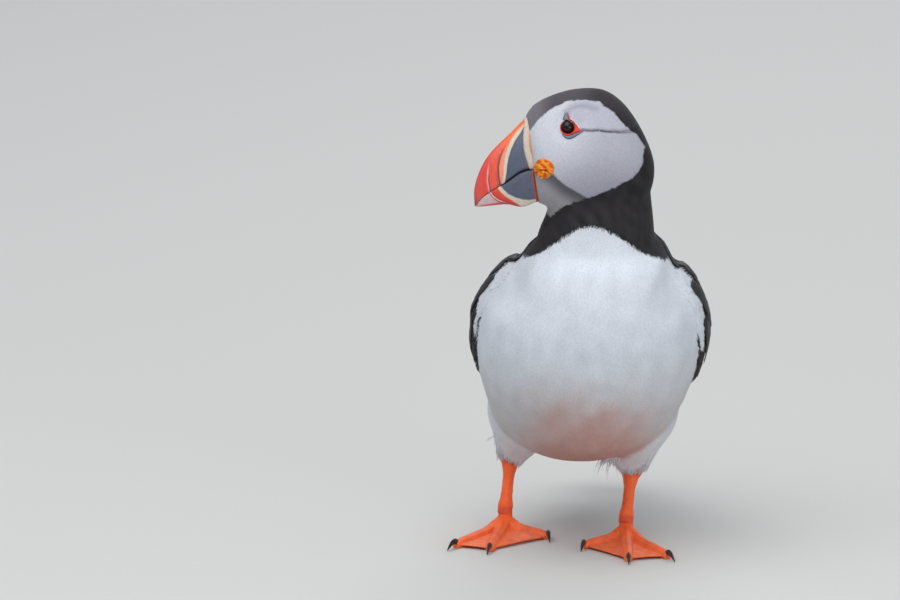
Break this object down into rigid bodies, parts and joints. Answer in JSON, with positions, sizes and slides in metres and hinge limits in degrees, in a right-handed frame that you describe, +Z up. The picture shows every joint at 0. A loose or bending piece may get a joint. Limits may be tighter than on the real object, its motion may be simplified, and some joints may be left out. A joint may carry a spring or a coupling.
{
  "type": "atlantic puffin",
  "caption": "Life-size standing seabird model with a deep banded bill, head turned to its right, folded wings, short tail and webbed feet.",
  "frame": {"origin": "on the floor under the middle of the whole bird", "axes": "+Z up; the body faces -Y, so its right wing is at -X and its tail towards +Y; the bill points mostly to -X"},
  "size_m": [0.123, 0.1678, 0.2237],
  "materials": {
    "face_plumage": "short dense feathers, pale grey cheek under a black crown",
    "black_plumage": "sleek black feathers with a slight sheen",
    "white_plumage": "soft white breast feathers, worn pinkish low on the belly",
    "leg_skin": "orange scaled skin, satin",
    "claw_horn": "dark polished horn",
    "bill_horn": "grooved horn in red, cream and slate bands, satin",
    "rosette_skin": "wrinkled orange-yellow skin",
    "eye_gloss": "wet, dark",
    "eye_plate": "slate-grey horn, satin"
  },
  "bodies": {
    "root": {"head": "face_plumage", "neck": "black_plumage", "trunk": "white_plumage", "tail": "black_plumage", "wing_left": "black_plumage", "wing_right": "black_plumage", "thigh_left": "white_plumage", "thigh_right": "white_plumage", "shank_left": "leg_skin", "shank_right": "leg_skin", "foot_left": "leg_skin", "foot_right": "leg_skin", "claw_left_inner": "claw_horn", "claw_left_middle": "claw_horn", "claw_left_outer": "claw_horn", "claw_right_inner": "claw_horn", "claw_right_middle": "claw_horn", "claw_right_outer": "claw_horn", "bill_upper": "bill_horn", "bill_lower": "bill_horn", "rosette_left": "rosette_skin", "rosette_right": "rosette_skin", "eye_left": "eye_gloss", "eye_right": "eye_gloss", "brow_plate_left": "eye_plate", "brow_plate_right": "eye_plate", "lower_plate_left": "eye_plate", "lower_plate_right": "eye_plate"}
  },
  "joints": []
}
